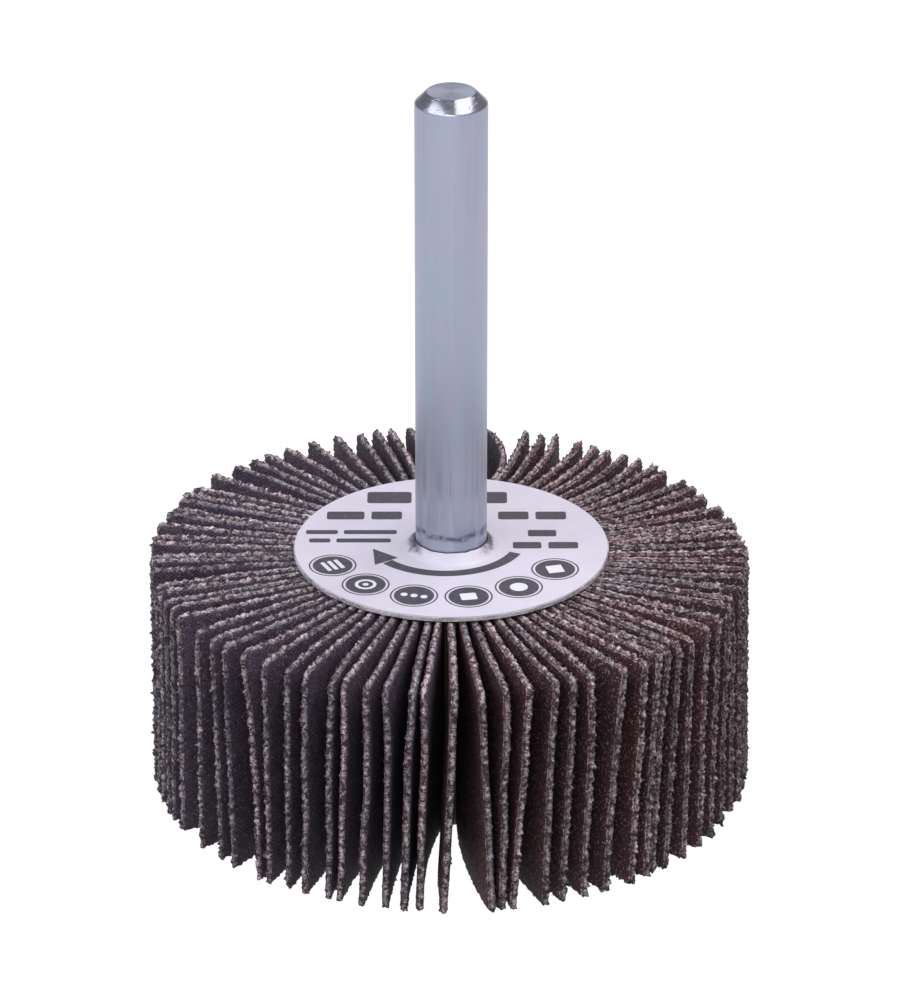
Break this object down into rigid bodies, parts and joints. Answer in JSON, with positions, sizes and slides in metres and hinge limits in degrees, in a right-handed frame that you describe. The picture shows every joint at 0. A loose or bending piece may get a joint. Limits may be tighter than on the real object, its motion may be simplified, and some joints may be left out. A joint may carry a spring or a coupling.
{
  "type": "flap wheel",
  "caption": "Mounted flap wheel: coated abrasive flaps set radially in a resin core, under a printed board disc, on a straight steel shank.",
  "frame": {"origin": "middle of the wheel's lower face, on the axis of the shank", "axes": "+Z along the shank towards its tip, -Y towards the front that the picture shows, +X to the right there"},
  "size_m": [0.05, 0.05, 0.0619],
  "materials": {
    "shank_steel": "bright zinc-plated steel, fine drawn marks along it and turning marks on its end",
    "cured_resin": "dark cured epoxy resin, dull, with small pits and flow marks",
    "disc_board": "grey pressed board, fibrous at its cut edge",
    "label_paper": "smooth cool white coated paper with dark slate print in plain shapes",
    "abrasive_cloth": "coated abrasive cloth: sparkling dark reddish-brown grain on one side, dark resin-stiffened cloth on the other, frayed light-grey cut edges"
  },
  "bodies": {
    "root": {"shank": "shank_steel", "resin_core": "cured_resin", "top_disc": "disc_board", "label": "label_paper", "flap_pair_01": "abrasive_cloth", "flap_pair_02": "abrasive_cloth", "flap_pair_03": "abrasive_cloth", "flap_pair_04": "abrasive_cloth", "flap_pair_05": "abrasive_cloth", "flap_pair_06": "abrasive_cloth", "flap_pair_07": "abrasive_cloth", "flap_pair_08": "abrasive_cloth", "flap_pair_09": "abrasive_cloth", "flap_pair_10": "abrasive_cloth", "flap_pair_11": "abrasive_cloth", "flap_pair_12": "abrasive_cloth", "flap_pair_13": "abrasive_cloth", "flap_pair_14": "abrasive_cloth", "flap_pair_15": "abrasive_cloth", "flap_pair_16": "abrasive_cloth", "flap_pair_17": "abrasive_cloth", "flap_pair_18": "abrasive_cloth", "flap_pair_19": "abrasive_cloth", "flap_pair_20": "abrasive_cloth", "flap_pair_21": "abrasive_cloth", "flap_pair_22": "abrasive_cloth", "flap_pair_23": "abrasive_cloth", "flap_pair_24": "abrasive_cloth", "flap_pair_25": "abrasive_cloth", "flap_pair_26": "abrasive_cloth", "flap_pair_27": "abrasive_cloth", "flap_pair_28": "abrasive_cloth", "flap_pair_29": "abrasive_cloth", "flap_pair_30": "abrasive_cloth", "flap_pair_31": "abrasive_cloth", "flap_pair_32": "abrasive_cloth", "flap_pair_33": "abrasive_cloth", "flap_pair_34": "abrasive_cloth", "flap_pair_35": "abrasive_cloth", "flap_pair_36": "abrasive_cloth", "flap_pair_37": "abrasive_cloth", "flap_pair_38": "abrasive_cloth", "flap_pair_39": "abrasive_cloth", "flap_pair_40": "abrasive_cloth", "flap_pair_41": "abrasive_cloth", "flap_pair_42": "abrasive_cloth"}
  },
  "joints": []
}
